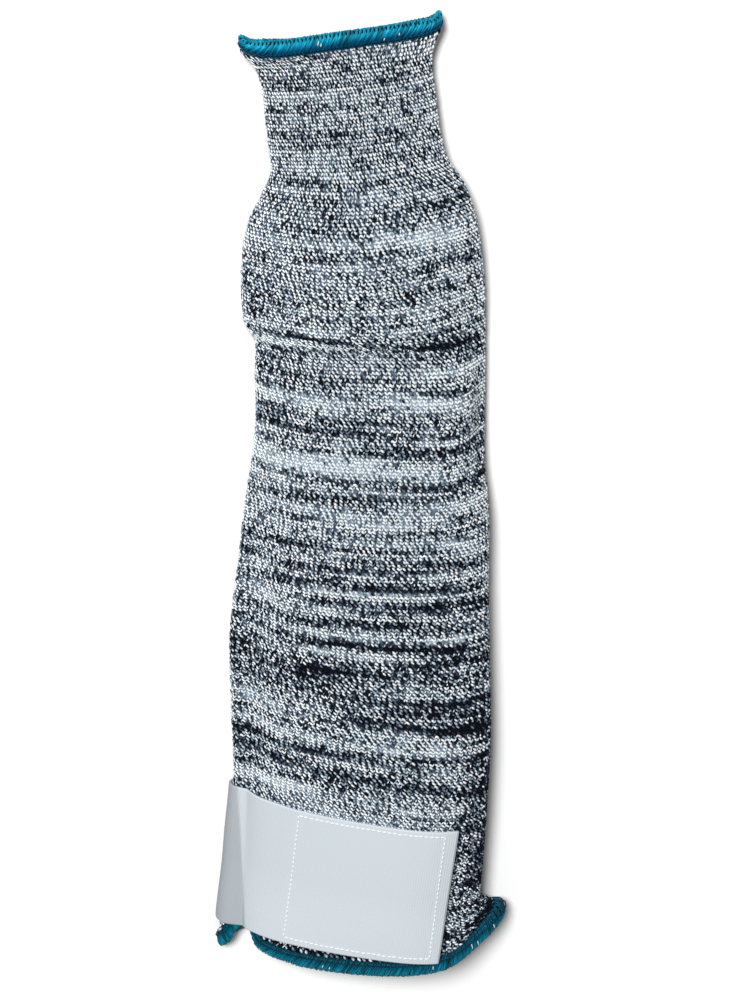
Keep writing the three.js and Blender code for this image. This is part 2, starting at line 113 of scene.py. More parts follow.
ARM_HEM = [
    ["fold_left", -61, -200, 5.7], ["fold_left_top", -59.2, -197.2, 8],
    ["root_outer", -55.2, -190.6, 8], ["root", -51.6, -187.4, 7.9],
    ["root_inner", -48.2, -190.6, 9], ["shoulder_left", -43.6, -197.8, 14],
    ["front", -7.6, -201.4, 24.5], ["shoulder_right", 30.5, -197.4, 27.5],
    ["side_right", 44.9, -188.8, 20], ["fold_right", 52.7, -182.4, 12],
    ["under_right", 47, -188.3, 2.3], ["under", -3.5, -188.4, 2.1],
    ["under_left_in", -34, -191.5, 2.8], ["under_left", -52.2, -193.4, 3.3],
    ["fold_left_under", -59.3, -198.4, 3.5],
]
STRAP_COLUMNS = ["edge", "start", "lean", "fold", "end", "patch_from", "patch_to"]
STRAP = [
    ["upper", -129.4, -0.088, -55.2, 35.0, -26.5, 31.5],
    ["lower", -192.6, -0.062, -60.8, 27.5, -33.5, 25.2],
]
STRAP_SEWN_X = -36
PATCH_INSET = 0.05
PATCH_RAMP = 19         # softer than in the solid: the strap bridges the patch edge
HOLLOW_PLACE, HOLLOW_REACH = 0.058, 0.03
STRAP_END_AT = 1.2
CURVE_STEPS = 24


def as_records(columns, rows):
    return [dict(zip(columns, row)) for row in rows]


sections = as_records(SECTION_COLUMNS, SECTIONS)
wrist_hem = as_records(HEM_COLUMNS, WRIST_HEM)
arm_hem = as_records(HEM_COLUMNS, ARM_HEM)
strap_edges = as_records(STRAP_COLUMNS, STRAP)
random = np.random.default_rng(13)


# ---------------------------------------------------------------- section curves
def unit(v):
    return v / np.maximum(np.linalg.norm(v, axis=-1, keepdims=True), 1e-9)


def section_points(r):
    w = r["xr"] - r["xl"]
    across = [
        (0, r["zl"]), (r["fl"] * 0.25, r["zl"] + (r["vl"] - r["zl"]) * r["kl"]), (r["fl"], r["vl"]), (r["fl"] + r["sl"], r["hl"]),
        (w / 2, r["hc"]), (w - r["fr"] - r["sr"], r["hr"]), (w - r["fr"], r["vr"]), (w, r["zr"]),
        (w - 8, r["bc"]), (w / 2, r["bc"]), (28, r["bl"]), (8, r["bl"]), (2.4, r["bl"] + (r["zl"] - r["bl"]) * 0.3),
    ]
    return np.array([(r["xl"] + a, r["yl"] + (r["yr"] - r["yl"]) * a / w, z) for a, z in across], float)


def closed_curve(points):
    """Closed centripetal curve through the points, CURVE_STEPS to each span."""
    n, made = len(points), []
    for i in range(n):
        p = [points[(i + d) % n] for d in (-1, 0, 1, 2)]
        t = np.cumsum([0] + [np.linalg.norm(p[k + 1] - p[k]) ** 0.5 for k in range(3)])
        x = (t[1] + (t[2] - t[1]) * np.arange(CURVE_STEPS) / CURVE_STEPS)[:, None]
        a1 = (t[1] - x) / (t[1] - t[0]) * p[0] + (x - t[0]) / (t[1] - t[0]) * p[1]
        a2 = (t[2] - x) / (t[2] - t[1]) * p[1] + (x - t[1]) / (t[2] - t[1]) * p[2]
        a3 = (t[3] - x) / (t[3] - t[2]) * p[2] + (x - t[2]) / (t[3] - t[2]) * p[3]
        b1 = (t[2] - x) / (t[2] - t[0]) * a1 + (x - t[0]) / (t[2] - t[0]) * a2
        b2 = (t[3] - x) / (t[3] - t[1]) * a2 + (x - t[1]) / (t[3] - t[1]) * a3
        made.append((t[2] - x) / (t[2] - t[1]) * b1 + (x - t[1]) / (t[2] - t[1]) * b2)
    return np.concatenate(made)


def directions(curve):
    tangent = unit(np.roll(curve, -1, 0) - np.roll(curve, 1, 0))
    along = unit(np.array([0, 1.0, 0]) - tangent * tangent[:, 1:2])
    return tangent, along, np.cross(tangent, along)


def with_inner(outer, out, right_fold):
    return outer, outer - out * WALL, right_fold * CURVE_STEPS


def section_from_row(row):
    outer = closed_curve(section_points(row))
    return with_inner(outer, directions(outer)[2], 7)


def hem_curve(rows):
    curve = closed_curve(np.array([(r["x"], r["y"], r["z"]) for r in rows], float))
    curve[:, 2] = np.maximum(curve[:, 2], HEM_THICK)
    return curve


def section_from_hem(curve, rows, side):
    _, along, out = directions(curve)
    outer = curve + along * side * (HEM_ALONG + HEM_GAP) + out * WALL / 2
    return with_inner(outer, out, [r["name"] for r in rows].index("fold_right"))


def resample(section, count):
    outer, inner, right = section
    n, made = len(outer), ([], [])
    for a, b in ((0, right), (right, n)):
        index = np.arange(a, b + 1) % n
        length = np.concatenate([[0], np.cumsum(np.linalg.norm(np.diff(outer[index], axis=0), axis=1))])
        want = np.linspace(0, length[-1], count // 2 + 1)[:-1]
        for k, line in enumerate((outer[index], inner[index])):
            made[k].append(np.stack([np.interp(want, length, line[:, c]) for c in range(3)], 1))
    return np.concatenate(made[0]), np.concatenate(made[1])


class Loft:
    """Smooth lengthwise curves through matching points of all the sections."""

    def __init__(self, rows, knots=None):
        self.rows = np.array(rows)
        gaps = np.linalg.norm(np.diff(self.rows, axis=0), axis=2).mean(1)
        self.knots = np.concatenate([[0], np.cumsum(gaps)]) if knots is None else knots
        h = np.diff(self.knots)[:, None, None]
        slope = np.diff(self.rows, axis=0) / h
        self.tangents = np.empty_like(self.rows)
        self.tangents[1:-1] = (slope[:-1] * h[1:] + slope[1:] * h[:-1]) / (h[1:] + h[:-1])
        self.tangents[0], self.tangents[-1] = slope[0], slope[-1]

    def at(self, places):
        places = np.asarray(places, float)
        i = np.clip(np.searchsorted(self.knots, places, side="right") - 1, 0, len(self.knots) - 2)
        h = (self.knots[i + 1] - self.knots[i])[:, None, None]
        u = ((places - self.knots[i])[:, None, None]) / h
        return (self.rows[i] * (2 * u**3 - 3 * u**2 + 1) + self.tangents[i] * h * (u**3 - 2 * u**2 + u)
                + self.rows[i + 1] * (3 * u**2 - 2 * u**3) + self.tangents[i + 1] * h * (u**3 - u**2))


wrist_curve, arm_curve = hem_curve(wrist_hem), hem_curve(arm_hem)
all_sections = ([section_from_hem(wrist_curve, wrist_hem, -1)] + [section_from_row(r) for r in sections]
                + [section_from_hem(arm_curve, arm_hem, 1)])


def smooth_step(x, low, high):
    t = np.clip((x - low) / (high - low), 0, 1)
    return t * t * (3 - 2 * t)


def mix(a, b, u):
    return a + (b - a) * u


# ------------------------------------------------------------------- mesh helpers
def make(name, points, faces, material, colours=None, uv=None, smooth=True):
    """A mesh object from points in the tables' frame and faces of one size."""
    faces = np.ascontiguousarray(faces, np.int32)
    mesh = bpy.data.meshes.new(name)
    mesh.vertices.add(len(points))
    mesh.vertices.foreach_set("co", ((np.asarray(points) - CENTRE) / 1000).astype(np.float32).ravel())
    mesh.loops.add(faces.size)
    mesh.loops.foreach_set("vertex_index", faces.ravel())
    mesh.polygons.add(len(faces))
    mesh.polygons.foreach_set("loop_start", np.arange(len(faces), dtype=np.int32) * faces.shape[1])
    mesh.update(calc_edges=True)
    mesh.polygons.foreach_set("use_smooth", np.full(len(faces), smooth))
    if colours is not None:
        layer = mesh.attributes.new("yarn", "FLOAT_COLOR", "POINT")
        layer.data.foreach_set("color", np.concatenate([colours, np.ones((len(colours), 1))], 1).astype(np.float32).ravel())
    if uv is not None:
        layer = mesh.uv_layers.new(name="OFBake")
        layer.uv.foreach_set("vector", uv[faces.ravel()].astype(np.float32).ravel())
    mesh.materials.append(material)
    made = bpy.data.objects.new(name, mesh)
    scene.collection.objects.link(made)
    return made


def grid_faces(rows, columns, closed_rows=False, closed_columns=False, first=0):
    r = np.arange(rows if closed_rows else rows - 1)[:, None]
    c = np.arange(columns if closed_columns else columns - 1)[None, :]
    a, b = r * columns + c, r * columns + (c + 1) % columns
    d, e = ((r + 1) % rows) * columns + c, ((r + 1) % rows) * columns + (c + 1) % columns
    return np.stack([a, d, e, b], -1).reshape(-1, 4) + first


def tubes(paths, radius, sides, flatten=None, ups=None, taper=True):
    """Closed round threads along the paths (threads, steps, 3), as one set of points and triangles."""
    paths = np.asarray(paths, float)
    count, steps, _ = paths.shape
    tangent = unit(np.gradient(paths, axis=1))
    ups = np.broadcast_to(np.array([0, 0, 1.0]), paths.shape) if ups is None else ups
    side = unit(np.cross(tangent, ups))
    up = np.cross(side, tangent)
    radius = np.broadcast_to(np.asarray(radius, float), (count, steps)) if np.ndim(radius) != 2 else radius
    if taper:
        radius = radius * np.where((np.arange(steps) == 0) | (np.arange(steps) == steps - 1), 0.45, 1.0)
    angle = 2 * np.pi * (np.arange(sides) + 0.5) / sides
    thin = 1.0 if flatten is None else flatten
    ring = (side[:, :, None] * np.cos(angle)[:, None] + up[:, :, None] * np.sin(angle)[:, None] * thin) * radius[:, :, None, None]
    points = paths[:, :, None] + ring
    quads = grid_faces(steps, sides, closed_columns=True)
    triangles = np.concatenate([quads[:, [0, 1, 2]], quads[:, [0, 2, 3]]])
    caps = [[0, k, k + 1] for k in range(1, sides - 1)]
    last = (steps - 1) * sides
    caps += [[last, last + k + 1, last + k] for k in range(1, sides - 1)]
    triangles = np.concatenate([triangles, caps])
    faces = (triangles[None] + (np.arange(count) * steps * sides)[:, None, None]).reshape(-1, 3)
    return points.reshape(-1, 3), faces[:, ::-1]


def together(parts):
    """Several (points, triangles, colours) joined into one."""
    points, faces, colours, first = [], [], [], 0
    for p, f, c in parts:
        points.append(p)
        faces.append(f + first)
        colours.append(np.broadcast_to(c, (len(p), 3)))
        first += len(p)
    return np.concatenate(points), np.concatenate(faces), np.concatenate(colours)


def linear(colour):
    c = np.asarray(colour, float) / 255.0
    return np.where(c <= 0.04045, c / 12.92, ((c + 0.055) / 1.055) ** 2.4)


def noise_grid(rows, columns, reach_rows, reach_columns, wrap=True):
    """Smooth random field of about unit spread, wrapping round the sleeve."""
    field = random.standard_normal((rows, columns))
    fr = np.fft.fftfreq(rows)[:, None]
    fc = np.fft.fftfreq(columns)[None, :]
    field = np.fft.ifft2(np.fft.fft2(field) * np.exp(-2 * (np.pi * fr * reach_rows) ** 2 - 2 * (np.pi * fc * reach_columns) ** 2)).real
    return field / field.std()


# ---------------------------------------------------------------------- materials
def new_material(name, roughness, sheen=0.0, specular=0.3):
    material = bpy.data.materials.new(name)
    material.use_nodes = True
    nodes, links = material.node_tree.nodes, material.node_tree.links
    shader = nodes["Principled BSDF"]
    shader.inputs["Roughness"].default_value = roughness
    shader.inputs["Specular IOR Level"].default_value = specular
    shader.inputs["Sheen Weight"].default_value = sheen
    shader.inputs["Sheen Roughness"].default_value = 0.5
    return material, nodes, links, shader


def fibre_bump(nodes, links, shader, scale, strength, distance):
    where = nodes.new("ShaderNodeTexCoord")
    noise = nodes.new("ShaderNodeTexNoise")
    noise.inputs["Scale"].default_value = scale
    noise.inputs["Detail"].default_value = 3.0
    bump = nodes.new("ShaderNodeBump")
    bump.inputs["Strength"].default_value = strength
    bump.inputs["Distance"].default_value = distance
    links.new(where.outputs["Object"], noise.inputs["Vector"])
    links.new(noise.outputs["Fac"], bump.inputs["Height"])
    links.new(bump.outputs["Normal"], shader.inputs["Normal"])
    return noise


def yarn_material(name, roughness, sheen, variation, specular, scale=2600.0, strength=0.35):
    material, nodes, links, shader = new_material(name, roughness, sheen, specular)
    colour = nodes.new("ShaderNodeAttribute")
    colour.attribute_name = "yarn"
    noise = fibre_bump(nodes, links, shader, scale, strength, 0.0002)
    spread = nodes.new("ShaderNodeMapRange")
    spread.inputs["From Min"].default_value = 0.3
    spread.inputs["From Max"].default_value = 0.7
    spread.inputs["To Min"].default_value = 1 - variation
    spread.inputs["To Max"].default_value = 1 + variation
    scaled = nodes.new("ShaderNodeVectorMath")
    scaled.operation = "SCALE"
    links.new(noise.outputs["Fac"], spread.inputs["Value"])
    links.new(colour.outputs["Color"], scaled.inputs[0])
    links.new(spread.outputs["Result"], scaled.inputs["Scale"])
    links.new(scaled.outputs["Vector"], shader.inputs["Base Color"])
    return material


marl = yarn_material("marl_knit", 0.85, 0.0, 0.18, 0.07)
teal = yarn_material("teal_edge", 0.5, 0.0, 0.12, 0.12, 2200.0, 0.3)
thread = yarn_material("sewing_thread", 0.7, 0.0, 0.08, 0.25)

TONES = [0.0, 0.22, 0.5, 0.78, 1.0]
TONE_COLOURS = linear([(9, 11, 20), (56, 68, 84), (132, 149, 165), (207, 221, 231), (248, 253, 255)])


def tone_colour(tone):
    return np.stack([np.interp(tone, TONES, TONE_COLOURS[:, c]) for c in range(3)], -1)


# ------------------------------------------------------------------------ the knit
FINE_WALE, FINE_COURSE = 4, 2
pairs = [resample(s, WALES * FINE_WALE) for s in all_sections]
knit_outer = Loft([p[0] for p in pairs])
knit_inner = Loft([p[1] for p in pairs], knit_outer.knots)
LENGTH = knit_outer.knots[-1]
COURSES = int(round(LENGTH / COURSE))
fine_places = np.linspace(0, LENGTH, COURSES * FINE_COURSE + 1)
fine = knit_outer.at(fine_places)
around_step = np.roll(fine, -1, 1) - np.roll(fine, 1, 1)
along_step = np.gradient(fine, axis=0)
fine_out = unit(np.cross(along_step, around_step))
if (fine_out[len(fine) // 2, WALES] * [0, 0, 1]).sum() < 0:
    fine_out = -fine_out


def bilinear(grid, course, wale):
    """Value of a fine grid at course and wale numbers, fractions included."""
    r = np.clip(course * FINE_COURSE, 0, COURSES * FINE_COURSE - 1e-6)
    c = (wale * FINE_WALE) % (WALES * FINE_WALE)
    i, j = r.astype(int), c.astype(int) % (WALES * FINE_WALE)
    u, v = (r - i)[..., None], (c - np.floor(c))[..., None]
    k = (j + 1) % (WALES * FINE_WALE)
    return (grid[i, j] * (1 - u) * (1 - v) + grid[i + 1, j] * u * (1 - v)
            + grid[i, k] * (1 - u) * v + grid[i + 1, k] * u * v)


def on_knit(course, wale, height):
    point = bilinear(fine, course, wale)
    return point + bilinear(fine_out, course, wale) * height[..., None]


# The rows under the last three headings of the table are painted shade: darker stitches where shade falls.
# Lighter and darker courses. course: how far down the sleeve, in courses from the
# wrist. wale: middle of the band, 0 at the left fold and 53 at the right fold.
# reach: its half width in wales. rise: courses that it falls over 10 wales.
# thick: courses. tone: how much lighter or darker.
BAND_COLUMNS = ["course", "wale", "reach", "rise", "thick", "tone"]
BANDS_AND_SHADE = [
    [5.0, 24.5, 5.5, 3.75, 1.71, -0.22], [6.8, 51.2, 3.0, 6.67, 1.14, -0.25], [8.6, 11.0, 7.2, 1.3, 1.0, -0.2],
    [13.9, 17.8, 6.2, 1.58, 0.86, -0.2], [23.8, 34.9, 12.1, 0.47, 0.86, -0.12], [18.5, 12.0, 10.2, 0.0, 1.14, 0.12],
    [38.8, 28.2, 15.8, 0.7, 0.71, 0.3], [41.2, 16.8, 10.8, -0.54, 0.71, -0.25], [42.1, 35.0, 10.5, 1.39, 0.71, -0.25],
    [44.1, 47.1, 5.1, -2.07, 0.86, -0.3], [52.0, 11.5, 13.0, 0.0, 1.0, 0.38], [52.2, 30.5, 9.0, 0.0, 1.0, 0.33],
    [52.5, 43.1, 8.4, 0.0, 2.29, 0.5], [55.2, 14.6, 9.9, -0.6, 0.86, -0.3], [54.9, 29.5, 8.0, 0.38, 0.86, -0.3],
    [58.6, 43.8, 6.8, 0.48, 0.86, -0.3], [62.0, 19.1, 5.6, 0.0, 1.43, -0.15], [57.9, 26.1, 8.9, 0.34, 0.71, 0.2],
    [62.2, 45.9, 5.6, 1.21, 1.14, 0.25], [65.9, 41.2, 9.8, 1.52, 1.14, -0.15], [72.1, 45.4, 6.1, 1.62, 0.71, -0.2],
    [75.9, 12.0, 9.8, -0.3, 0.86, 0.25], [77.1, 26.4, 7.6, 2.04, 0.71, 0.25], [78.8, 9.6, 6.4, -1.03, 0.86, -0.42],
    [79.4, 20.0, 7.0, 2.27, 1.29, -0.46], [81.8, 31.8, 7.8, 1.6, 1.71, -0.42], [83.4, 44.2, 7.8, 2.0, 2.29, -0.56],
    [81.6, 19.5, 7.0, 0.45, 0.55, 0.9], [85.2, 9.4, 6.9, 0.0, 1.14, -0.35], [88.8, 15.5, 13.8, -1.22, 1.14, 0.15],
    [90.6, 23.6, 13.1, -0.22, 0.57, -0.25], [97.8, 7.1, 6.4, 0.0, 1.14, 0.1], [95.1, 35.8, 15.5, 1.25, 0.57, -0.3],
    [99.1, 40.6, 11.4, 3.29, 1.29, 0.35], [98.6, 28.0, 9.8, 0.3, 0.57, 0.2], [104.5, 25.9, 8.9, 0.68, 0.86, -0.35],
    [104.1, 42.0, 10.2, 3.71, 0.86, -0.25], [111.6, 7.5, 5.8, -1.76, 0.71, -0.35], [118.4, 26.0, 25.2, 0.11, 1.57, 0.3],
    [123.4, 16.9, 15.9, -1.57, 0.71, -0.25], [127.2, 24.0, 12.8, -0.44, 0.71, -0.25], [130.9, 31.6, 12.1, -0.24, 0.71, -0.4],
    [135.4, 11.8, 6.8, -2.38, 0.57, -0.25], [136.0, 24.4, 14.6, -0.76, 0.55, 0.35], [143.1, 12.1, 9.6, -2.77, 0.71, -0.35],
    [142.0, 43.4, 7.1, 4.44, 1.43, 0.35], [147.0, 14.9, 12.6, -2.7, 1.29, 0.2], [147.9, 43.4, 7.6, 2.04, 0.86, -0.35],
    [155.2, 12.2, 9.8, -2.42, 1.0, -0.35], [154.6, 29.0, 10.0, 0.88, 1.0, -0.45], [156.0, 43.5, 7.5, 1.67, 0.86, -0.4],
    [159.1, 12.2, 9.5, -2.81, 1.29, 0.35], [157.6, 24.9, 6.1, 0.54, 0.86, 0.25], [162.2, 17.5, 8.2, -2.22, 0.57, -0.25],
    [161.0, 37.8, 13.2, 0.43, 0.86, 0.15], [166.1, 25.6, 9.1, 0.33, 1.0, -0.4], [167.1, 41.2, 9.5, 1.56, 1.14, -0.42],
    [170.9, 16.0, 12.8, -1.56, 1.29, 0.4], [170.0, 38.2, 12.5, 0.91, 0.71, 0.4], [174.8, 16.6, 7.6, -1.63, 0.86, -0.35],
    [173.8, 36.0, 14.8, 0.75, 1.14, -0.42], [178.6, 13.8, 9.8, -2.73, 1.0, 0.3], [184.9, 12.0, 5.0, -0.71, 1.29, -0.45],
    [185.1, 20.0, 6.0, 0.56, 1.71, -0.45], [184.9, 33.2, 10.2, -0.29, 0.86, -0.35], [197.6, 14.1, 9.9, -3.28, 1.0, 0.25],
    [198.8, 19.0, 9.2, -0.65, 1.29, -0.35], [198.5, 37.6, 12.4, 0.92, 0.86, -0.4], [201.2, 41.1, 8.9, 1.36, 0.55, 0.35],
    [209.2, 23.5, 8.2, -2.22, 0.71, -0.3], [208.5, 40.2, 9.0, 0.67, 0.71, -0.3], [213.9, 23.8, 10.5, -1.94, 0.55, 0.3],
    [224.0, 11.5, 9.2, -1.94, 1.43, 0.6], [218.2, 34.2, 14.5, 0.38, 0.57, -0.3],
    # painted shade: darker stitches on the shaded right side, along the left fold, in the crease beside the right side
    # and in the hollow inside the rolled corner
    [234, 53, 8, 0, 44, -0.58], [190, 0.5, 2.2, 0, 36, -0.16], [64, 49.6, 0.9, 0, 26, -0.25], [273, 52.5, 5, 0, 5, -0.62],
    # the shade beside the strap's free edge
    [232, 43.4, 0.7, 0, 7, -0.42], [244, 42.8, 0.7, 0, 7, -0.42], [256, 42.4, 0.7, 0, 7, -0.42], [267, 41.8, 0.7, 0, 5, -0.42],
    # the shade beside the edges
    [275, 24, 32, 0, 2.4, -0.36], [2, 3, 6, 0, 6, -0.2],
]


def tones():
    """Lightness of every stitch, courses by wales, painted shade from the bands included. Each course shows now the
    yarn's light ply and now its dark one, in short runs that drift along it."""
    drift = np.abs(0.15 + 0.16 * noise_grid(COURSES, WALES, 0.7, 10.0))
    phase = np.cumsum(drift, axis=1) + random.random((COURSES, 1)) * 7
    ply = np.cos(2 * np.pi * phase)
    arm = smooth_step(np.arange(COURSES)[:, None], 40, 105)      # the cuff is plainer and lighter
    runs, base = mix(0.10, 0.19, arm), mix(0.825, 0.775, arm)
    t = base + 0.14 * ply + runs * noise_grid(COURSES, WALES, 0.6, 14.0) + 0.07 * noise_grid(COURSES, WALES, 0.5, 2.0)
    t += 0.05 * noise_grid(COURSES, WALES, 5.0, 24.0)
    course, wale = np.arange(COURSES)[:, None] + 0.5, np.arange(WALES)[None, :] + 0.5
    for b in as_records(BAND_COLUMNS, BANDS_AND_SHADE):
        across = (wale - b["wale"]) / b["reach"]
        middle = b["course"] + b["rise"] * (wale - b["wale"]) / 10
        t += b["tone"] * np.exp(-((course - middle) / b["thick"]) ** 2) * np.exp(-across**4)
    return t


def stitch_tone_pairs(t):
    """Lightness at the two ends of both legs of each stitch."""
    left = t + 0.16 * random.standard_normal(t.shape) + 0.10
    right = 0.6 * t + 0.4 * np.roll(t, -1, 1) + 0.24 * random.standard_normal(t.shape) - 0.38
    turned = random.random(t.shape) < 0.27      # here the other ply lies on top
    left, right = np.where(turned, right, left), np.where(turned, left - 0.06, right)
    twist = 0.18 * random.standard_normal((4,) + t.shape)
    both = np.stack([left + twist[0], left + twist[1], right + twist[2], right + twist[3]])
    contrast = mix(1.55, 1.27, smooth_step(np.arange(COURSES)[:, None], 20, 60))
    return np.clip(0.5 + (both - 0.5) * contrast, 0.0, 1.0)


knit_tones = tones()
shift = 0.5 * np.clip(0.42 * random.standard_normal(COURSES), -0.8, 0.8)[:, None] + 0.11 * random.standard_normal((COURSES, WALES))
stitch_ends = stitch_tone_pairs(knit_tones)

# Centre line of one leg of a stitch: aside in wales from the stitch's middle, down
# in courses, up in millimetres, and the leg's half width there in millimetres.
LEG_COLUMNS = ["aside", "down", "up", "half_width"]
LEFT_LEG = [[0.24, 0.60, -0.55, 0.0], [0.06, 0.24, 0.0, 0.44], [-0.23, -0.20, 0.02, 0.46], [-0.47, -0.58, -0.50, 0.0]]
RIGHT_LEG = [[0.12, 0.58, -0.58, 0.0], [0.27, 0.18, -0.12, 0.27], [0.38, -0.20, -0.12, 0.28], [0.47, -0.58, -0.58, 0.0]]
WALE_WIDTH = 1.95
LEG_FACES = np.array([
    [0, 2, 1], [0, 3, 2], [0, 1, 3],
    [1, 2, 5], [1, 5, 4], [2, 3, 6], [2, 6, 5], [3, 1, 4], [3, 4, 6],
    [7, 4, 5], [7, 5, 6], [7, 6, 4],
])


def legs(course, wale, table, tone_low, tone_high):
    """All legs of one kind: points, triangles, colours and places on the sleeve."""
    n = len(course)
    wobble = random.standard_normal((5, n))
    across = np.array([(table[1][0] - table[2][0]) * WALE_WIDTH, (table[1][1] - table[2][1]) * COURSE])
    across = np.array([across[1], -across[0]]) / np.hypot(*across) / [WALE_WIDTH, COURSE]
    places = []
    for number, (aside, down, up, half) in enumerate(table):
        a = wale + aside + 0.025 * wobble[0] + 0.02 * wobble[3] * (1 if number in (0, 1) else -1)
        b = course + down + 0.04 * wobble[1]
        u = up + CREST + 0.05 * wobble[2]
        if number in (0, 3):
            places.append((a, b, u, tone_low if number == 0 else tone_high))
            continue
        half = half * (1 + 0.1 * wobble[4])
        shade = tone_low if number == 1 else tone_high
        # painted light: each leg's two sides are 0.06 darker and its crest 0.03 lighter
        places.append((a - half * across[0], b - half * across[1], u - 0.34, shade - 0.06))
        places.append((a, b, u, shade + 0.03))
        places.append((a + half * across[0], b + half * across[1], u - 0.34, shade - 0.06))
    a, b, u, t = (np.stack([place[c] for place in places], 1) for c in range(4))
    points = on_knit(b, a, u)
    points[..., 2] = np.maximum(points[..., 2], 0.02)
    faces = LEG_FACES[None] + (np.arange(n) * 8)[:, None, None]
    return points.reshape(-1, 3), faces.reshape(-1, 3), tone_colour(np.clip(t, 0, 1)).reshape(-1, 3), np.stack([a, b], -1).reshape(-1, 2)


knit_pieces = []
cuts = np.linspace(0, COURSES, PIECES + 1).round().astype(int)
for number in range(PIECES):
    low, high = cuts[number], cuts[number + 1]
    course, wale = (m.ravel() for m in np.meshgrid(np.arange(low, high), np.arange(WALES), indexing="ij"))
    ends = stitch_ends[:, course, wale]
    aside = shift[course, wale]
    left = legs(course + 0.5, wale + 0.5 + aside, LEFT_LEG, ends[0], ends[1])
    right = legs(course + 0.5, wale + 0.5 + aside, RIGHT_LEG, ends[2], ends[3])
    points, faces, colours = together([left[:3], right[:3]])
    place = np.concatenate([left[3], right[3]])
    uv = np.stack([0.01 + 0.98 * (place[:, 0] + 0.6) / (WALES + 1.2), 0.02 + 0.96 * (place[:, 1] - low + 1) / (high - low + 2)], 1)
    knit_pieces.append(make(f"knit_stitches_{number + 1}", points, faces, marl, colours, np.clip(uv, 0, 1)))

# the ground behind the stitches, closed at both rims, with the inside of the knit; its outer face takes the stitches'
# tone much darkened, painted shade in the gaps between them
GROUND_ROWS = 141
ground_places = np.linspace(0, LENGTH, GROUND_ROWS)
picked = np.arange(0, WALES * FINE_WALE, FINE_WALE)
g_out = knit_outer.at(ground_places)
g_in = knit_inner.at(ground_places)
g_normal = unit(g_out - g_in)
g_out, g_in, g_normal = g_out[:, picked], g_in[:, picked], g_normal[:, picked]
g_outside = g_out - g_normal * BACKING
g_outside[..., 2] = np.maximum(g_outside[..., 2], 0.15)
g_in[..., 2] = np.maximum(g_in[..., 2], WALL)
ground_points = np.concatenate([g_outside, g_in[::-1]]).reshape(-1, 3)
ground_faces = grid_faces(2 * GROUND_ROWS, WALES, closed_rows=True, closed_columns=True)
inside = np.repeat([False, True], GROUND_ROWS * WALES)
shade = 0.42 + 0.12 * noise_grid(GROUND_ROWS, WALES, 1.0, 5.0) + 0.1 * random.standard_normal((GROUND_ROWS, WALES))
# painted shade: the ground seen between the stitches takes their tone darkened by 0.72
behind = knit_tones[np.clip((np.arange(GROUND_ROWS) * COURSES / (GROUND_ROWS - 1)).astype(int), 0, COURSES - 1)] - 0.72
ground_tone = np.clip(np.concatenate([behind, shade]), 0.0, 0.6).ravel()
v_place = np.concatenate([np.linspace(0.01, 0.49, GROUND_ROWS), np.linspace(0.51, 0.99, GROUND_ROWS)])
ground_uv = np.stack(np.meshgrid(v_place, np.arange(WALES) / WALES, indexing="ij")[::-1], -1).reshape(-1, 2)
knit_ground = make("knit_ground", ground_points, ground_faces, marl, tone_colour(ground_tone), None)


# ------------------------------------------------------------------------ the hems
def even_curve(curve, count):
    closed = np.concatenate([curve, curve[:1]])
    length = np.concatenate([[0], np.cumsum(np.linalg.norm(np.diff(closed, axis=0), axis=1))])
    want = np.linspace(0, length[-1], count + 1)[:-1]
    return np.stack([np.interp(want, length, closed[:, c]) for c in range(3)], 1), length[-1]


# Teal in three lightnesses: across each wrap the light one on the free side and the mid one beside the knit are painted
# light and shade, and the dark one, on the core and the short dark threads, is painted shade between the wraps
TEAL_LIGHT, TEAL_MID, TEAL_DARK = linear([(6, 142, 170), (0, 78, 112), (0, 12, 28)])


ROPE_SHIFT = 0.4                      # its middle lies this far onto the knit
# Threads wound round the edge. radius: beside the knit and at the free edge, where
# gaps show between them. lean: how far a thread runs along the edge as it crosses it.
WRAP_COLUMNS = ["pitch", "radius_knit", "radius_free", "lean", "out", "steps", "sides", "tone", "tone_free"]
WRAPS = [
    [1.02, 0.56, 0.50, 1.5, 0.0, 16, 5, 0.85, 1.05],
    # the thin crossing threads are a lighter teal, painted highlights on the edge
    [2.10, 0.20, 0.20, 2.3, 0.08, 14, 4, 1.5, 1.3],
]
# Short dark threads in a row near the wrist edge's free side, painted shade standing for the gaps between the wraps;
# from and to in degrees round it.
TEETH_PITCH, TEETH_RADIUS, TEETH_FROM, TEETH_TO = 1.45, 0.36, 122, 150
# Rows of needle stitches along the knit's side: how far from the middle towards the
# knit, as a share of the half height, and how high, as a share of the half thickness.
NEEDLE_COLUMNS = ["aside", "high", "tone"]
NEEDLES = [[0.98, 0.62, 0.85], [0.66, 0.98, 0.7]]
NEEDLE_PITCH, NEEDLE_RADIUS = 1.4, 0.30


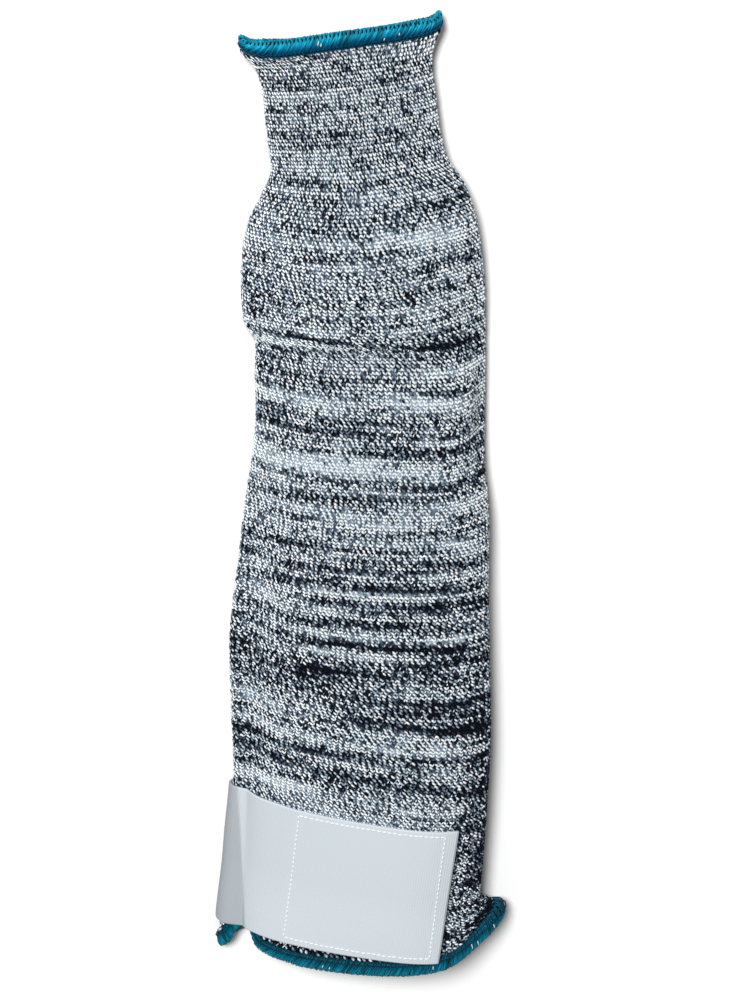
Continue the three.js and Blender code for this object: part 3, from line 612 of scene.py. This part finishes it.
def hem_piece(name, curve, knit_side, light, mid, dark, flecks, swells, half_sizes, teeth=False):
    """Overlocked edge: a core wound closely with threads that lean along it. swells: the
    x from and to which it grows at a corner, by what share in thickness and in height."""
    parts = []
    half_high, half_thick = half_sizes

    def thick_at(line):
        return half_thick * (1 + sum(share * smooth_step(line[:, 0], a, b) for a, b, share, _ in swells))

    def high_at(line):
        return half_high * (1 + sum(share * smooth_step(line[:, 0], a, b) for a, b, _, share in swells))

    _, total = even_curve(curve, 8)
    core, _ = even_curve(curve, int(total / 0.9))
    tangent, along, out = directions(core)
    core = core + along * knit_side * ROPE_SHIFT
    angle = -2 * np.pi * np.arange(12) / 12
    high, thick = (high_at(core) - 0.35)[:, None, None], (thick_at(core) - 0.35)[:, None, None]
    ring = core[:, None] + along[:, None] * high * np.cos(angle)[None, :, None] + out[:, None] * thick * np.sin(angle)[None, :, None]
    quads = grid_faces(len(core), 12, closed_rows=True, closed_columns=True)
    core_faces = np.concatenate([quads[:, [0, 1, 2]], quads[:, [0, 2, 3]]])
    # the core takes the dark teal: painted shade seen between the wraps
    parts.append((ring.reshape(-1, 3), core_faces, dark))
    for wrap in as_records(WRAP_COLUMNS, WRAPS):
        steps, sides = wrap["steps"], wrap["sides"]
        wraps = int(round(total / wrap["pitch"]))
        n = wraps * steps
        line, _ = even_curve(curve, n)
        tangent, along, out = directions(line)
        phase = -2 * np.pi * np.arange(n) / steps
        turn = np.arange(n) // steps
        wobble = (1 + 0.015 * random.standard_normal(wraps))[turn]
        lean = (wrap["lean"] * (1 + 0.15 * random.standard_normal(wraps)))[turn]
        free = smooth_step(-np.cos(phase) * knit_side, 0.1, 0.95)
        radius = mix(wrap["radius_knit"], wrap["radius_free"], free)
        flat = mix(0.45, 0.75, free)
        reach_along = (high_at(line) - radius * flat + wrap["out"]) * wobble
        reach_out = (thick_at(line) - radius * flat + wrap["out"]) * wobble
        path = (line + along * (knit_side * ROPE_SHIFT + reach_along * np.cos(phase))[:, None]
                + out * (reach_out * np.sin(phase))[:, None] + tangent * (lean * np.cos(phase))[:, None])
        path_tangent = unit(np.roll(path, -1, 0) - np.roll(path, 1, 0))
        up = unit(along * np.cos(phase)[:, None] + out * np.sin(phase)[:, None])
        side = unit(np.cross(path_tangent, up))
        up = np.cross(side, path_tangent)
        a = 2 * np.pi * np.arange(sides) / sides
        ring = path[:, None] + (side[:, None] * np.cos(a)[None, :, None]
                                + up[:, None] * np.sin(a)[None, :, None] * flat[:, None, None]) * radius[:, None, None]
        quads = grid_faces(n, sides, closed_rows=True, closed_columns=True)
        faces = np.concatenate([quads[:, [0, 2, 1]], quads[:, [0, 3, 2]]])
        tone = (wrap["tone"] * np.clip(1 + 0.26 * random.standard_normal(wraps), 0.45, 1.8))[turn]
        # painted highlight: on about six wraps in ten the front middle is up to 55% lighter
        tone = tone * (1 + 0.55 * np.exp(-(((phase % (2 * np.pi)) - (1.45 if knit_side < 0 else 1.7)) / 0.42) ** 2) * (random.random(wraps) < 0.6)[turn])
        # painted light and shade: each wrap is lighter on its free side and darker beside the knit
        knit_edge = smooth_step(np.cos(phase) * knit_side, -0.55, 0.4)
        base = mix(light, mid, knit_edge[:, None])
        tone = tone * mix(1, wrap["tone_free"] / wrap["tone"], free)
        colours = np.clip(base * tone[:, None], 0, 1)[:, None] * (1 + 0.12 * random.standard_normal((n, sides, 1)))
        parts.append((ring.reshape(-1, 3), faces, np.clip(colours, 0, 1).reshape(-1, 3)))
    if teeth:
        count = int(round(total / TEETH_PITCH))
        line, _ = even_curve(curve, count)
        tangent, along, out = directions(line)
        turn = np.radians(np.linspace(TEETH_FROM, TEETH_TO, 5))[None, :, None]
        paths = (line[:, None] + along[:, None] * knit_side * (ROPE_SHIFT + (high_at(line)[:, None, None] + 0.06) * np.cos(turn))
                 + out[:, None] * (thick_at(line)[:, None, None] + 0.06) * np.sin(turn))
        points, faces = tubes(paths, TEETH_RADIUS, 4)
        # painted shade: the short dark threads in the gaps between the wraps
        parts.append((points, faces, dark * 0.8))
    for needle in as_records(NEEDLE_COLUMNS, NEEDLES):
        count = int(round(total / NEEDLE_PITCH))
        line, _ = even_curve(curve, count * 8)
        tangent, along, out = directions(line)
        run = (line + along * (knit_side * (ROPE_SHIFT + high_at(line) * needle["aside"]))[:, None]
               + out * (thick_at(line) * needle["high"])[:, None])
        index = (np.arange(count)[:, None] * 8 + np.arange(-1, 8)[None, ::2]) % len(run)
        paths = run[index] + out[index] * np.array([-0.12, 0.1, 0.16, 0.1, -0.12])[:, None] + along[index] * np.linspace(-0.22, 0.22, 5)[:, None]
        points, faces = tubes(paths, NEEDLE_RADIUS, 4)
        tone = needle["tone"] * (1 + 0.2 * random.standard_normal(count))
        parts.append((points, faces, np.clip(np.repeat(mid[None] * tone[:, None], len(points) // count, 0), 0, 1)))
    paths = []
    for x, aside, length in flecks:
        line, _ = even_curve(curve, 900)
        tangent, along, out = directions(line)
        front = np.where(out[:, 2] > 0, np.abs(line[:, 0] - x), 1e9).argmin()
        turn = math.acos(aside)
        steps = np.linspace(turn - length / 5, turn + length / 5, 5)
        paths.append([line[front] + along[front] * knit_side * (ROPE_SHIFT + (high_at(line)[front] + 0.2) * math.cos(q))
                      + out[front] * (thick_at(line)[front] + 0.2) * math.sin(q) + tangent[front] * 1.2 * knit_side * math.cos(q) for q in steps])
    points, faces = tubes(paths, 0.2, 5)
    parts.append((points, faces, linear((228, 232, 226))))
    points, faces, colours = together(parts)
    points[:, 2] = np.maximum(points[:, 2], 0.02)
    return make(name, points, faces, teal, colours)


# Pale threads caught in the edges: x, place across the edge from -1, free, to 1, knit
# side, and length in millimetres.
WRIST_FLECKS = [(-18.1, -0.1, 1.3), (-17.0, 0.15, 0.9), (5.9, 0.45, 0.9), (11.0, 0.1, 0.7)]
ARM_FLECKS = [(41.0, 0.1, 1.6), (43.0, -0.1, 1.5), (49.2, 0.1, 1.2), (-18.2, 0.0, 0.9), (-15.4, -0.1, 0.7), (26.4, 0.1, 0.9)]
wrist_edge = hem_piece("wrist_edge", wrist_curve, -1, TEAL_LIGHT * 0.86, TEAL_MID * 0.9, TEAL_DARK, WRIST_FLECKS, [(-33, -45, -0.45, -0.42), (15, 25, -0.35, -0.25)], (3.2, 2.2), teeth=True)
arm_edge = hem_piece("arm_edge", arm_curve, 1, TEAL_LIGHT * 0.55, TEAL_MID * (0.5, 0.84, 0.66), TEAL_DARK * 0.8, ARM_FLECKS, [(38, 50, 0.5, 0.1), (-26, -34, -0.14, -0.17)], (3.7, 2.5))

# ----------------------------------------------------------------------- the strap
STRAP_FINE = 208


def carried_on():
    before, last = sections[-2:]
    row = dict(last)
    for column in ("xl", "yl", "xr", "yr", "hc", "hr"):
        row[column] += STRAP_END_AT * (last[column] - before[column])
    return row


strap_loft = Loft([resample(section_from_row(r), STRAP_FINE)[0] for r in sections[-5:] + [carried_on()]])
strap_end = strap_loft.knots[-1]
STRAP_STEP = 0.5
strap_from = max(0.0, strap_end - 132)
strap_rows = int((strap_end - strap_from) / STRAP_STEP)
strap_grid = strap_loft.at(np.linspace(strap_from, strap_end, strap_rows + 1))


def surface_point(s, k):
    r = np.clip((k - strap_from) / (strap_end - strap_from) * strap_rows, 0, strap_rows - 1e-6)
    c = (np.asarray(s) % 1.0) * STRAP_FINE
    i, j = r.astype(int), np.floor(c).astype(int) % STRAP_FINE
    u, v, w = (r - i)[..., None], (c - np.floor(c))[..., None], (j + 1) % STRAP_FINE
    return (strap_grid[i, j] * (1 - u) * (1 - v) + strap_grid[i + 1, j] * u * (1 - v)
            + strap_grid[i, w] * (1 - u) * v + strap_grid[i + 1, w] * u * v)


def strap_value(column, b):
    return mix(strap_edges[0][column], strap_edges[1][column], b)


def strap_line(s, b, x):
    return strap_value("start", b) + strap_value("lean", b) * np.where(s < 0, 2 * strap_value("fold", b) - x, x)


def strap_place(s, b):
    s, b = np.broadcast_arrays(np.asarray(s, float), np.asarray(b, float))
    low, high = np.full(s.shape, strap_end - 130), np.full(s.shape, strap_end)
    for _ in range(26):
        middle = (low + high) / 2
        p = surface_point(s, middle)
        before = p[..., 1] > strap_line(s, b, p[..., 0])
        low, high = np.where(before, middle, low), np.where(before, high, middle)
    return (low + high) / 2


def strap_point(s, b, lift):
    s, b = np.broadcast_arrays(np.asarray(s, float), np.asarray(b, float))
    k = strap_place(s, b)
    p = surface_point(s, k)
    du = surface_point(s + 0.004, k) - surface_point(s - 0.004, k)
    dk = surface_point(s, k - 1.5) - surface_point(s, k + 1.5)
    return p + unit(np.cross(du, dk)) * np.asarray(lift)[..., None]


def place_at_x(x, b, start, end):
    b = np.asarray(b, float)
    low, high = np.full(b.shape, float(start)), np.full(b.shape, float(end))
    rising = surface_point(high, strap_place(high, b))[..., 0] > surface_point(low, strap_place(low, b))[..., 0]
    for _ in range(22):
        middle = (low + high) / 2
        before = (surface_point(middle, strap_place(middle, b))[..., 0] < x) == rising
        low, high = np.where(before, middle, low), np.where(before, high, middle)
    return (low + high) / 2


CREASE_AT = (-52.6, -50.4)     # x of the strap's soft crease at its two edges
CREASE_DEEP, CREASE_WIDE = 0.6, 1.0
FLAP_PAINTED_SHADE = 0.33               # painted shade: the folded part beyond the crease is darker by this share


def strap_lift(s, b):
    x = surface_point(s, strap_place(s, b))[..., 0]
    crease = mix(CREASE_AT[0], CREASE_AT[1], b)
    groove = np.where(s > 0, CREASE_DEEP * np.exp(-np.abs((x - crease) / CREASE_WIDE)), 0)
    patch_from = strap_value("patch_from", b)
    over_patch = np.where(s > 0.02, smooth_step(x, patch_from - PATCH_RAMP, patch_from - 1), 0)
    over_hollow = np.where(s > 0, np.exp(-(((s - HOLLOW_PLACE) / HOLLOW_REACH) ** 2)), 0)
    return (mix(STRAP_GAP, PATCH_GAP * 2 + PATCH_THICK, over_patch) + STRAP_BRIDGE * over_hollow
            + STRAP_FLARE * smooth_step(b, 0.5, 1) * mix(STRAP_FLARE_UNDER, 1, smooth_step(s, -0.07, -0.02))
            + np.where(s > 0, 0.9 * (1 - b) * over_hollow, 0) - groove)


STRAP_ROWS = 61
EDGE_ROUND = 0.007       # share of the width over which an edge is rounded
row_b = np.concatenate([[0, EDGE_ROUND * 0.3, EDGE_ROUND], np.linspace(EDGE_ROUND * 2, 1 - EDGE_ROUND * 2, STRAP_ROWS - 6),
                        [1 - EDGE_ROUND, 1 - EDGE_ROUND * 0.3, 1]])
sewn_at = place_at_x(STRAP_SEWN_X, row_b, -0.02, -0.35)
ends_at = place_at_x(strap_value("end", row_b), row_b, 0.05, 0.49)
stretches = [(None, -0.05, 10), (-0.05, 0.05, 36), (0.05, 0.13, 22), (0.13, None, 70)]
columns = []
for start, end, steps in stretches:
    share = np.arange(steps) / steps
    a = sewn_at[:, None] if start is None else start
    z = ends_at[:, None] if end is None else end
    columns.append(mix(a, z, share[None, :]) * np.ones((len(row_b), 1)))
columns.append(ends_at[:, None])
strap_s = np.concatenate(columns, 1)
strap_b = np.broadcast_to(row_b[:, None], strap_s.shape)
lift = strap_lift(strap_s, strap_b)
edge = np.minimum(strap_b, 1 - strap_b) / EDGE_ROUND
thick = STRAP_THICK * (0.35 + 0.65 * np.sqrt(np.clip(1 - (1 - np.clip(edge, 0, 1)) ** 2, 0, 1)))
low = strap_point(strap_s, strap_b, lift + (STRAP_THICK - thick) / 2)
high = strap_point(strap_s, strap_b, lift + (STRAP_THICK + thick) / 2)


def slab(bottom, top):
    rows, columns = top.shape[:2]
    points = np.concatenate([bottom.reshape(-1, 3), top.reshape(-1, 3)])
    number = np.arange(rows * columns).reshape(rows, columns)
    under, over = number, number + rows * columns

    def quads(a, b, c, d):
        return np.stack([x.ravel() for x in (a, b, c, d)], 1)

    faces = [
        quads(over[:-1, :-1], over[1:, :-1], over[1:, 1:], over[:-1, 1:]),
        quads(under[:-1, :-1], under[:-1, 1:], under[1:, 1:], under[1:, :-1]),
        quads(under[0, :-1], over[0, :-1], over[0, 1:], under[0, 1:]),
        quads(under[-1, 1:], over[-1, 1:], over[-1, :-1], under[-1, :-1]),
        quads(under[1:, 0], over[1:, 0], over[:-1, 0], under[:-1, 0]),
        quads(under[:-1, -1], over[:-1, -1], over[1:, -1], under[1:, -1]),
    ]
    return points, np.concatenate(faces)


web, web_nodes, web_links, web_shader = new_material("grey_web", 0.8, 0.1, 0.25)
web_shader.inputs["Base Color"].default_value = (*linear((198, 206, 212)), 1)


def web_surface():
    """Fine ribs across the strap, crossed by finer threads, in relief and in colour. The colour follows the relief's
    height, a little darker in its grooves as painted shade, and the folded flap is darker as painted shade.
    """
    def node(kind, **values):
        made = web_nodes.new(kind)
        for key, value in values.items():
            setattr(made, key, value)
        return made

    def maths(operation, a, b=None):
        made = node("ShaderNodeMath", operation=operation)
        for number, value in enumerate((a, b)):
            if isinstance(value, (int, float)):
                made.inputs[number].default_value = value
            elif value is not None:
                web_links.new(value, made.inputs[number])
        return made.outputs[0]

    where = node("ShaderNodeAttribute", attribute_name="weave_and_shade")
    split = node("ShaderNodeSeparateXYZ")
    web_links.new(where.outputs["Vector"], split.inputs[0])
    ribs = maths("SINE", maths("MULTIPLY", split.outputs["X"], 2 * math.pi / 0.98))
    picks = maths("SINE", maths("MULTIPLY", split.outputs["Y"], 2 * math.pi / 0.62))
    crossed = maths("MULTIPLY", ribs, picks)
    noise = node("ShaderNodeTexNoise")
    noise.inputs["Scale"].default_value = 1.6
    noise.inputs["Detail"].default_value = 4.0
    web_links.new(where.outputs["Vector"], noise.inputs["Vector"])
    height = maths("ADD", maths("ADD", maths("MULTIPLY", ribs, 0.5), maths("MULTIPLY", crossed, 0.35)), maths("MULTIPLY", noise.outputs["Fac"], 1.2))
    bump = node("ShaderNodeBump")
    bump.inputs["Strength"].default_value = 0.5
    bump.inputs["Distance"].default_value = 0.00012
    web_links.new(height, bump.inputs["Height"])
    web_links.new(bump.outputs["Normal"], web_shader.inputs["Normal"])
    # painted shade: darker in the grooves of the relief and on the folded flap
    shade = maths("MULTIPLY", maths("ADD", maths("MULTIPLY", height, 0.035), 0.95),
                  maths("SUBTRACT", 1.0, split.outputs["Z"]))
    colour = node("ShaderNodeVectorMath", operation="SCALE")
    colour.inputs[0].default_value = linear((201, 209, 215))
    web_links.new(shade, colour.inputs["Scale"])
    web_links.new(colour.outputs["Vector"], web_shader.inputs["Base Color"])


web_surface()
hook, hook_nodes, hook_links, hook_shader = new_material("grey_hook", 0.75, 0.0, 0.3)
hook_shader.inputs["Base Color"].default_value = (*linear((180, 187, 193)), 1)

strap_points, strap_faces = slab(low, high)
strap = make("strap_web", strap_points, strap_faces, web)
middle = (low + high) / 2
run_along = np.concatenate([np.zeros((len(row_b), 1)), np.cumsum(np.linalg.norm(np.diff(middle, axis=1), axis=2), axis=1)], 1)
run_along -= run_along[:, -1:]
run_across = np.concatenate([np.zeros((1, strap_s.shape[1])), np.cumsum(np.linalg.norm(np.diff(middle, axis=0), axis=2), axis=0)], 0)
weave_and_shade = strap.data.attributes.new("weave_and_shade", "FLOAT_VECTOR", "POINT")
crease_x = mix(CREASE_AT[0], CREASE_AT[1], strap_b)
# painted shade: the flap beyond the crease, and the strap's part round the fold, are darkened through the third value
# of the strap's attribute
flap_shade = np.where(strap_s > -0.02, FLAP_PAINTED_SHADE * (1 - smooth_step(middle[..., 0] - crease_x, -0.9, 0.5)), FLAP_PAINTED_SHADE)
weave_and_shade.data.foreach_set("vector", np.tile(np.stack([run_along, run_across, flap_shade], -1).reshape(-1, 3), (2, 1)).astype(np.float32).ravel())

# the sewn rectangle over the patch: real stitches, half sunk in the strap
SEAM_COLUMNS = ["side", "from_b", "to_b", "from_x", "to_x"]
SEAMS = [
    ["upper", 0.034, 0.034, 0.0, 1.0], ["right", 0.034, 0.955, 1.0, 1.0],
    ["lower", 0.955, 0.955, 1.0, 0.0], ["left", 0.955, 0.034, 0.0, 0.0],
]
SEAM_PITCH, SEAM_LENGTH, SEAM_RADIUS = 2.15, 1.7, 0.28
SEAM_RIGHT_IN = 1.4     # the right hand seam lies this far inside the patch's end


def seam_point(b, share, lift):
    x = mix(strap_value("patch_from", b), strap_value("patch_to", b) - SEAM_RIGHT_IN, share)
    s = place_at_x(x, b, 0.05, 0.49)
    return strap_point(s, b, strap_lift(s, b) + STRAP_THICK + lift)


paths = []
for seam in as_records(SEAM_COLUMNS, SEAMS):
    share = np.linspace(0, 1, 81)
    line = seam_point(mix(seam["from_b"], seam["to_b"], share), mix(seam["from_x"], seam["to_x"], share), np.zeros(81))
    length = np.concatenate([[0], np.cumsum(np.linalg.norm(np.diff(line, axis=0), axis=1))])
    count = int(round(length[-1] / SEAM_PITCH))
    pitch = length[-1] / count
    for number in range(count):
        start = number * pitch + (pitch - SEAM_LENGTH) / 2 + 0.08 * random.standard_normal()
        at = start + SEAM_LENGTH * np.linspace(0, 1, 6)
        path = np.stack([np.interp(at, length, line[:, c]) for c in range(3)], 1)
        path[:, 2] += np.array([-0.22, 0.10, 0.17, 0.17, 0.10, -0.22])
        path[:, :2] += 0.06 * random.standard_normal(2)
        paths.append(path)
seam_points, seam_faces = tubes(paths, SEAM_RADIUS, 6)
seam = make("strap_seam", seam_points, seam_faces, thread, np.broadcast_to(linear((232, 236, 237)), (len(seam_points), 3)))

patch_b = mix(PATCH_INSET, 1 - PATCH_INSET, np.linspace(0, 1, 21))
patch_from = place_at_x(strap_value("patch_from", patch_b), patch_b, 0.05, 0.49)
patch_to = place_at_x(strap_value("patch_to", patch_b), patch_b, 0.05, 0.49)
patch_s = mix(patch_from[:, None], patch_to[:, None], np.linspace(0, 1, 41)[None, :])
patch_bb = np.broadcast_to(patch_b[:, None], patch_s.shape)
patch_points, patch_faces = slab(strap_point(patch_s, patch_bb, np.full(patch_s.shape, PATCH_GAP)),
                                 strap_point(patch_s, patch_bb, np.full(patch_s.shape, PATCH_GAP + PATCH_THICK)))
patch = make("hook_side", patch_points, patch_faces, hook)

# ------------------------------------------------------------------ floor and light
floor_mesh = bpy.data.meshes.new("floor")
floor_mesh.from_pydata([(-6, -6, 0), (6, -6, 0), (6, 6, 0), (-6, 6, 0)], [], [(0, 1, 2, 3)])
floor = bpy.data.objects.new("floor", floor_mesh)
scene.collection.objects.link(floor)
floor_material, _, _, floor_shader = new_material("floor_white", 0.9, 0.0, 0.1)
floor_shader.inputs["Base Color"].default_value = (0.93, 0.93, 0.93, 1)
floor_mesh.materials.append(floor_material)
floor.visible_diffuse = False   # a cut-out ground: it throws no light up at the sides


def area_light(name, place, size, power, colour=(1, 1, 1)):
    data = bpy.data.lights.new(name, "AREA")
    data.shape = "DISK"
    data.size = size
    data.energy = power
    data.color = colour
    light = bpy.data.objects.new(name, data)
    scene.collection.objects.link(light)
    light.location = place
    towards = np.array([0.0, 0.0, 0.0]) - np.array(place)
    light.rotation_euler = (math.acos(-towards[2] / np.linalg.norm(towards)), 0.0, math.atan2(-towards[0], towards[1]))
    return light


area_light("key", (-0.6, 1.75, 2.75), 1.0, 129.0)
world = bpy.data.worlds.new("pale_room")
scene.world = world
world.use_nodes = True
world.node_tree.nodes["Background"].inputs["Color"].default_value = (1, 1, 1, 1)
world.node_tree.nodes["Background"].inputs["Strength"].default_value = 0.24
scene.view_settings.view_transform = "Standard"
scene.view_settings.look = "None"

# ------------------------------------------------------------------- what is what
for piece in knit_pieces + [knit_ground]:
    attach(piece, "root")
    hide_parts("knit_sleeve")
for piece, node in ((wrist_edge, "wrist_hem"), (arm_edge, "arm_hem")):
    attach(piece, "root")
    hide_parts(node)
for piece, node, slot in ((strap, "closure_strap", "grey_web"), (seam, "closure_strap", "grey_web"), (patch, "hook_patch", "grey_hook")):
    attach(piece, "root")
    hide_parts(node)
